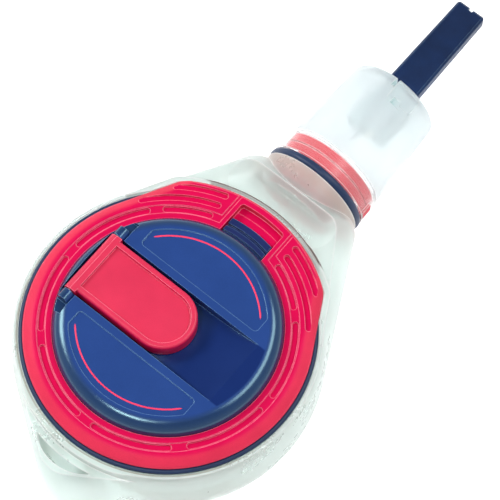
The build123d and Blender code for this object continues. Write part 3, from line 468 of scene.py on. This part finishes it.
# A solid plastic's second colour is its painted wall shade and its third its painted edge
# highlight; on the clear parts edge is a painted highlight and the seam colour a painted shade.
MATERIALS = {
    "cover_red": solid_plastic("cover_red", RED_FLAT, RED_DEEP, RED_EDGE, rough=0.4,
                               line_gain=10.0, tones=cover_tones,
                               specular=0.35, shine=(1.0, 0.25, 0.4, 1.0)),
    "handle_red": solid_plastic("handle_red", RED, RED_DEEP, RED_EDGE, rough=0.4,
                                grain_mm=0.016, line_gain=10.0),
    "collar_red": solid_plastic("collar_red", COLLAR_RED, COLLAR_RED, srgb(255, 236, 238),
                                rough=0.45, line_gain=14.0, line_share=1.0,
                                specular=0.15),
    "disc_navy": solid_plastic("disc_navy", NAVY, NAVY_DEEP, NAVY_EDGE, rough=0.2,
                               tones=disc_tones, edge_mm=0.28, line_mm=0.36, line_gain=7.0,
                               line_share=0.85, grain_mm=0.005,
                               specular=0.75, shine=(0.58, 0.96, 1.0, 1.0)),
    "lock_navy": solid_plastic("lock_navy", srgb(14, 32, 88), NAVY_DEEP, NAVY_EDGE, rough=0.3,
                               line_share=0.5),
    "grip_navy": solid_plastic("grip_navy", srgb(8, 34, 72), srgb(20, 50, 88),
                               srgb(110, 160, 196),
                               rough=0.42, grain_mm=0.05, edge_mm=0.35, line_mm=0.3,
                               line_share=0.75, specular=0.25, mottle=0.2),
    "white_nylon": solid_plastic("white_nylon", srgb(232, 234, 230), srgb(222, 226, 222),
                                 srgb(245, 246, 244), rough=0.5),
    "clear_shell": see_through("clear_shell", srgb(242, 250, 248), srgb(230, 241, 238),
                               rough=0.28, milk=0.5, edge=WHITE,
                               seam_shade=srgb(186, 200, 194), nose_y=(60.0, 64.0),
                               nose_body=srgb(220, 210, 202), nose_milk=0.74, nose_rough=0.28,
                               line_mm=1.0, line_gain=10.0, seam_mm=2.5, seam_share=0.7,
                               foot_shade=0.55, rings=CASE_SEAMS),
    "frosted_cap": see_through("frosted_cap", srgb(250, 253, 253), srgb(255, 240, 238),
                               rough=0.12, milk=0.12, edge=WHITE,
                               seam_shade=srgb(150, 190, 188), nose_y=(75.2, 77.0),
                               nose_body=srgb(220, 227, 229), nose_milk=0.4, nose_rough=0.3,
                               line_mm=0.5, line_gain=8.0, seam_mm=1.8, near_seam=0.0),
    "steel": drawn_steel("steel"),
    "bronze": sintered_bronze("bronze"),
    "rubber": seal_rubber("rubber"),
    "felt": pressed_felt("felt"),
    "cotton": cotton("cotton", srgb(238, 232, 214), srgb(206, 196, 172)),
    "ink": printed_ink("ink"),
}

CAD_FINISH = {
    "clear_case": "clear_shell",
    "front_cover": "cover_red",
    "crank_handle": "handle_red",
    "felt_holder": "collar_red",
    "crank_disc": "disc_navy",
    "lock_slider": "lock_navy",
    "line_pin_grip": "grip_navy",
    "cover_gasket": "rubber",
    "neck_o_ring": "rubber",
    "disc_seal": "felt",
    "line_spool": "white_nylon",
    "ratchet_flange": "white_nylon",
    "felt_retainer": "white_nylon",
    "nose_cap": "frosted_cap",
    "axle_bush": "bronze",
    "reel_axle": "steel",
    "thrust_washer": "steel",
    "spool_screw": "steel",
    "screw_washer": "steel",
    "detent_spring": "steel",
    "lock_pawl": "steel",
    "handle_hinge_pin": "steel",
    "pin_needle": "steel",
}


def paint(obj, finish):
    obj.data.materials.clear()
    obj.data.materials.append(MATERIALS[finish])


for node, finish in CAD_FINISH.items():
    paint(NODES[node], finish)


# ---------------------------------------------------------------- mesh building

def new_piece(name, mesh_bm, finish):
    """A smooth-shaded object from a bmesh given in millimetres."""
    bmesh.ops.recalc_face_normals(mesh_bm, faces=mesh_bm.faces)
    mesh = bpy.data.meshes.new(name)
    mesh_bm.to_mesh(mesh)
    mesh_bm.free()
    mesh.transform(Matrix.Scale(MM, 4))
    for face in mesh.polygons:
        face.use_smooth = True
    obj = bpy.data.objects.new(name, mesh)
    bpy.context.scene.collection.objects.link(obj)
    paint(obj, finish)
    return obj


def along(points):
    """Unit directions of a line of points."""
    last = len(points) - 1
    return [
        (points[min(i + 1, last)] - points[max(i - 1, 0)]).normalized()
        for i in range(last + 1)
    ]


def add_tube(mesh_bm, points, radius, sides=8):
    """A tube with domed ends along a line of points, without twist."""
    heading = along(points)
    across = heading[0].orthogonal().normalized()
    rings = []
    for point, ahead in zip(points, heading):
        across = (across - ahead * across.dot(ahead)).normalized()
        other = ahead.cross(across)
        ring = []
        for step in range(sides):
            turn = 2 * math.pi * step / sides
            out = across * math.cos(turn) + other * math.sin(turn)
            ring.append(mesh_bm.verts.new(point + out * radius))
        rings.append(ring)
    for first, second in zip(rings, rings[1:]):
        for step in range(sides):
            after = (step + 1) % sides
            mesh_bm.faces.new((first[step], first[after], second[after], second[step]))
    for ring, point, sign, ahead in (
        (rings[0], points[0], -1, heading[0]), (rings[-1], points[-1], 1, heading[-1]),
    ):
        tip = mesh_bm.verts.new(point + ahead * sign * radius * 0.6)
        for step in range(sides):
            mesh_bm.faces.new((ring[step], ring[(step + 1) % sides], tip))


def add_yarn(mesh_bm, points, radius, lay_mm=1.9, strands=3, sides=6):
    """Strands laid together round a line of points."""
    strand_r = radius * 0.5
    offset = radius - strand_r
    heading = along(points)
    for strand in range(strands):
        across = heading[0].orthogonal().normalized()
        path = []
        gone = 0.0
        for i, (point, ahead) in enumerate(zip(points, heading)):
            if i:
                gone += (point - points[i - 1]).length
            across = (across - ahead * across.dot(ahead)).normalized()
            other = ahead.cross(across)
            turn = 2 * math.pi * (gone / lay_mm + strand / strands)
            path.append(point + (across * math.cos(turn) + other * math.sin(turn)) * offset)
        add_tube(mesh_bm, path, strand_r, sides)


def straight(start, end, step_mm=0.22):
    """Evenly spaced points from one place to another."""
    count = max(2, math.ceil((end - start).length / step_mm))
    return [start.lerp(end, i / count) for i in range(count + 1)]


# ---------------------------------------------------------------- the chalk line

FELT_STEP_OUT = 2.2  # the line's joint lies this far past the felt holder


def line_to_felt():
    """The line from the coil through the neck to the felts."""
    start = Vector((RUN_HIGH.x - LINE_R, RUN_LOW.y + LINE_R, NECK_Z))
    throat = Vector((0, HOLDER_LOW.y - 0.5, NECK_Z))
    end = Vector((0, HOLDER_HIGH.y + FELT_STEP_OUT, NECK_Z))
    mesh_bm = bmesh.new()
    add_yarn(mesh_bm, straight(start, throat) + straight(throat, end)[1:], LINE_R)
    piece = new_piece("chalk_line_run", mesh_bm, "cotton")
    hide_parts("line_run", "line_in_felt")
    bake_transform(piece)
    return piece


def line_to_pin():
    """The line from the felts to the eye of the line pin."""
    start = Vector((0, HOLDER_HIGH.y + FELT_STEP_OUT, NECK_Z))
    eye_x = (KNOT_LOW.x + KNOT_HIGH.x) / 2
    bend = Vector((eye_x, TAIL_LOW.y + 6.0, NECK_Z))
    end = Vector((eye_x, KNOT_LOW.y + 0.4, NECK_Z))
    path = []
    for i in range(61):
        t = i / 60
        one = start.lerp(bend, t)
        two = bend.lerp(end, t)
        path.append(one.lerp(two, t))
    mesh_bm = bmesh.new()
    add_yarn(mesh_bm, path, LINE_R)
    piece = new_piece("chalk_line_tail", mesh_bm, "cotton")
    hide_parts("line_tail")
    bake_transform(piece)
    return piece


def knot():
    """The loop through the pin's eye and the turns that close it."""
    eye = (KNOT_LOW + KNOT_HIGH) / 2
    reach = (GRIP_HIGH.z - GRIP_LOW.z) / 2
    mesh_bm = bmesh.new()
    loop = []
    for i in range(49):
        turn = 2 * math.pi * i / 48
        side = Vector((0, -1.15 + 1.15 * math.cos(turn), (reach - 0.35) * math.sin(turn)))
        loop.append(eye + side + Vector((0.18 * math.sin(2 * turn), 0, 0)))
    add_yarn(mesh_bm, loop, 0.34)
    wraps = []
    for i in range(97):
        turn = 2 * math.pi * i / 32
        out = Vector((math.cos(turn), 0, math.sin(turn))) * 0.72
        wraps.append(Vector((eye.x, GRIP_LOW.y - 1.9 + 1.5 * i / 96, NECK_Z)) + out)
    add_yarn(mesh_bm, wraps, 0.34)
    piece = new_piece("line_knot_tied", mesh_bm, "cotton")
    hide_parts("line_knot")
    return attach(piece, "line_pin")


def coil():
    """The wound line: a barrel of close turns with a few crossing ones."""
    low, high = COIL_LOW.z, COIL_HIGH.z
    reach = COIL_HIGH.x
    middle, half = (low + high) / 2, (high - low) / 2
    hub_r = 14.0
    crown = 1.2  # how far the coil's middle stands out beyond its ends
    core_inset = 0.75  # the solid core lies this far below the outermost turns
    margin = 0.05

    def barrel(z):
        return reach - crown * ((z - middle) / half) ** 2

    mesh_bm = bmesh.new()
    rows = 20
    columns = 96
    rings = []
    profile = [(hub_r, low + margin)]
    for row in range(rows + 1):
        z = low + margin + (high - low - 2 * margin) * row / rows
        profile.append((barrel(z) - core_inset, z))
    profile.append((hub_r, high - margin))
    for column in range(columns):
        turn = 2 * math.pi * column / columns
        rings.append([
            mesh_bm.verts.new((r * math.cos(turn), r * math.sin(turn), z)) for r, z in profile
        ])
    for i, ring in enumerate(rings):
        after = rings[(i + 1) % columns]
        for j in range(len(profile)):
            k = (j + 1) % len(profile)
            mesh_bm.faces.new((ring[j], after[j], after[k], ring[k]))
    for layer, (turns, lift, phase) in enumerate(((18, 0.42, 0.0), (4, 0.0, 1.3))):
        points = []
        steps = turns * 64
        for i in range(steps + 1):
            share = i / steps
            z = low + 0.5 + (high - low - 1.0) * (share if layer == 0 else 1 - share)
            turn = 2 * math.pi * turns * share + phase
            wander = noise.noise(Vector((turn * 0.35, layer * 9.0, 2.0)))
            r = barrel(z) - LINE_R - lift + 0.1 * wander
            points.append(Vector((r * math.cos(turn), r * math.sin(turn), z + 0.12 * wander)))
        add_tube(mesh_bm, points, LINE_R, sides=6)
    piece = new_piece("wound_chalk_line", mesh_bm, "cotton")
    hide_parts("wound_line")
    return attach(piece, "reel")


# ---------------------------------------------------------------- felts

def felt(node, name, flat_side):
    """Half of the felt plug: a soft-edged half round with an uneven, fluffy skin."""
    low, high = span(node)
    inset = 0.12  # room for the uneven skin inside the CAD felt
    radius = (high.x - low.x) / 2 - inset
    flat_z = low.z if flat_side > 0 else high.z
    outline = []
    for i in range(49):
        turn = math.pi * i / 48
        outline.append((radius * math.cos(turn), max(0.0, radius * math.sin(turn))))
    rows = 24
    across = 30
    mesh_bm = bmesh.new()
    layers = []
    for row in range(rows + 1):
        share = row / rows
        y = low.y + inset + (high.y - low.y - 2 * inset) * share
        pinch = 1 - 0.05 * (2 * share - 1) ** 8
        chord = [(-radius + 2 * radius * i / across, 0.0) for i in range(1, across)]
        ring = []
        for x, up in outline + chord:
            z = flat_z + flat_side * (0.1 + up * pinch)
            ring.append(mesh_bm.verts.new((x * pinch, y, z)))
        layers.append(ring)
    count = len(layers[0])
    for first, second in zip(layers, layers[1:]):
        for i in range(count):
            j = (i + 1) % count
            mesh_bm.faces.new((first[i], first[j], second[j], second[i]))
    for ring in (layers[0], layers[-1]):
        hub = mesh_bm.verts.new(sum((v.co for v in ring), Vector()) / count)
        for i in range(count):
            mesh_bm.faces.new((ring[i], ring[(i + 1) % count], hub))
    mesh_bm.normal_update()
    for vert in mesh_bm.verts:
        vert.co += vert.normal * 0.1 * noise.noise(vert.co * 1.6)
    piece = new_piece(name, mesh_bm, "felt")
    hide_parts(node)
    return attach(piece, "nose")


# ---------------------------------------------------------------- print on the disc

def stripe(name, side):
    """A thin printed arc along one label panel of the disc."""
    radius = 26.4
    half_width = 0.25
    half_angle = math.radians(49)
    floor = DISC_FACE_Z - 0.3  # the label panels are this deep
    mesh_bm = bmesh.new()
    steps = 72
    rings = []
    for i in range(steps + 1):
        angle = -half_angle + 2 * half_angle * i / steps
        close = min(i, steps - i) / 2
        width = half_width * (math.sqrt(1 - (1 - close) ** 2) if close < 1 else 1.0)
        width = max(width, 0.04)
        ring = []
        for r, z in ((-width, -0.02), (-width, 0.035), (0, 0.05), (width, 0.035), (width, -0.02)):
            reach = radius + r
            x = reach * math.sin(angle)
            y = side * reach * math.cos(angle)
            ring.append(mesh_bm.verts.new((x, y, floor + z)))
        rings.append(ring)
    for first, second in zip(rings, rings[1:]):
        for j in range(5):
            k = (j + 1) % 5
            mesh_bm.faces.new((first[j], first[k], second[k], second[j]))
    mesh_bm.faces.new(rings[0])
    mesh_bm.faces.new(rings[-1])
    piece = new_piece(name, mesh_bm, "ink")
    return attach(piece, "reel")


line_to_felt()
line_to_pin()
knot()
coil()
felt("felt_pad_front", "felt_front", 1)
felt("felt_pad_back", "felt_back", -1)
stripe("disc_stripe_nose", 1)
stripe("disc_stripe_tail", -1)


# ---------------------------------------------------------------- floor, light, camera

FLOOR_GLOW = 0.52
FLOOR_GAP = 0.0002  # metres between the reel's back and the floor
ROOM_HEIGHTS = (0.15, 0.85)  # the room dims between these heights of the sky
ROOM_LIGHT = (0.92, 0.25)
FOCAL_LENGTH = 190.4
CAMERA_AIM = Vector((0.0025, 0.0338, 0.0385))
CAMERA_DISTANCE = 0.768
CAMERA_AZIMUTH = math.radians(39.09)
CAMERA_ELEVATION = math.radians(67.96)
CAMERA_ROLL = math.radians(0.41)

# name, direction from the reel, the way its long side lies, length, width, radiance
SOFT_BOXES = (
    ("key_box", (-0.73, -0.20, 0.65), (0.0, 1.0, 0.0), 0.35, 0.35, 14.0),
    ("side_box", (0.36, 0.40, 0.84), (0.21, -0.63, 0.22), 0.75, 0.30, 7.5),
    ("front_box", (-0.02, -0.42, 0.90), (1.0, 0.0, 0.0), 0.26, 0.14, 24.0),
)


def floor():
    net = Net("studio_floor")
    grain = net.noise(0.02, detail=3.0)
    colour = net.blend(grain, (0.93, 0.93, 0.93, 1.0), (0.96, 0.96, 0.96, 1.0))
    shader = net.add("BsdfPrincipled", {
        "Base Color": colour, "Roughness": 0.9, "Specular IOR Level": 0.1,
        "Emission Color": (1.0, 1.0, 1.0, 1.0), "Emission Strength": FLOOR_GLOW,
    })
    mesh_bm = bmesh.new()
    bmesh.ops.create_circle(mesh_bm, cap_ends=True, segments=96, radius=4.0)
    mesh = bpy.data.meshes.new("studio_floor")
    mesh_bm.to_mesh(mesh)
    mesh_bm.free()
    obj = bpy.data.objects.new("studio_floor", mesh)
    bpy.context.scene.collection.objects.link(obj)
    obj.location.z = cad_box[0].z - FLOOR_GAP
    mesh.materials.append(net.finish(shader.outputs[0]))


def soft_box(name, direction, long_way, length, width, radiance):
    """A rectangular softbox one metre from the reel, its long side along long_way."""
    light = bpy.data.lights.new(name, "AREA")
    light.shape = "RECTANGLE"
    light.size = length
    light.size_y = width
    light.energy = radiance * math.pi * length * width
    obj = bpy.data.objects.new(name, light)
    bpy.context.scene.collection.objects.link(obj)
    back = Vector(direction).normalized()
    side = Vector(long_way)
    side = (side - back * side.dot(back)).normalized()
    obj.matrix_world = Matrix.Translation(CAMERA_AIM + back) @ Matrix(
        (side, back.cross(side), back)
    ).transposed().to_4x4()
    obj.visible_transmission = False


def surroundings():
    """A white room with a dimmer ceiling."""
    world = bpy.data.worlds.new("studio")
    bpy.context.scene.world = world
    world.use_nodes = True
    nodes, links = world.node_tree.nodes, world.node_tree.links
    nodes.clear()
    place = nodes.new("ShaderNodeTexCoord")
    parts = nodes.new("ShaderNodeSeparateXYZ")
    links.new(place.outputs["Generated"], parts.inputs[0])
    ramp = nodes.new("ShaderNodeMapRange")
    limits = zip(("From Min", "From Max", "To Min", "To Max"), ROOM_HEIGHTS + ROOM_LIGHT)
    for key, value in limits:
        ramp.inputs[key].default_value = value
    links.new(parts.outputs["Z"], ramp.inputs["Value"])
    room = nodes.new("ShaderNodeBackground")
    links.new(ramp.outputs[0], room.inputs["Strength"])
    seen = nodes.new("ShaderNodeBackground")
    seen.inputs["Strength"].default_value = 1.0
    path = nodes.new("ShaderNodeLightPath")
    mix = nodes.new("ShaderNodeMixShader")
    links.new(path.outputs["Is Camera Ray"], mix.inputs[0])
    links.new(room.outputs[0], mix.inputs[1])
    links.new(seen.outputs[0], mix.inputs[2])
    output = nodes.new("ShaderNodeOutputWorld")
    links.new(mix.outputs[0], output.inputs["Surface"])


def camera():
    data = bpy.data.cameras.new("camera")
    data.lens = FOCAL_LENGTH
    data.sensor_width = 36.0
    data.clip_start = 0.05
    data.clip_end = 20.0
    obj = bpy.data.objects.new("camera", data)
    bpy.context.scene.collection.objects.link(obj)
    back = Vector((
        math.sin(CAMERA_AZIMUTH) * math.cos(CAMERA_ELEVATION),
        -math.cos(CAMERA_AZIMUTH) * math.cos(CAMERA_ELEVATION),
        math.sin(CAMERA_ELEVATION),
    ))
    level = Vector((math.cos(CAMERA_AZIMUTH), math.sin(CAMERA_AZIMUTH), 0))
    above = back.cross(level)
    right = level * math.cos(CAMERA_ROLL) + above * math.sin(CAMERA_ROLL)
    up = back.cross(right)
    obj.matrix_world = Matrix.Translation(CAMERA_AIM + back * CAMERA_DISTANCE) @ Matrix(
        (right, up, back)
    ).transposed().to_4x4()
    bpy.context.scene.camera = obj


floor()
surroundings()
for settings in SOFT_BOXES:
    soft_box(*settings)
camera()
bpy.context.scene.view_settings.view_transform = "Standard"
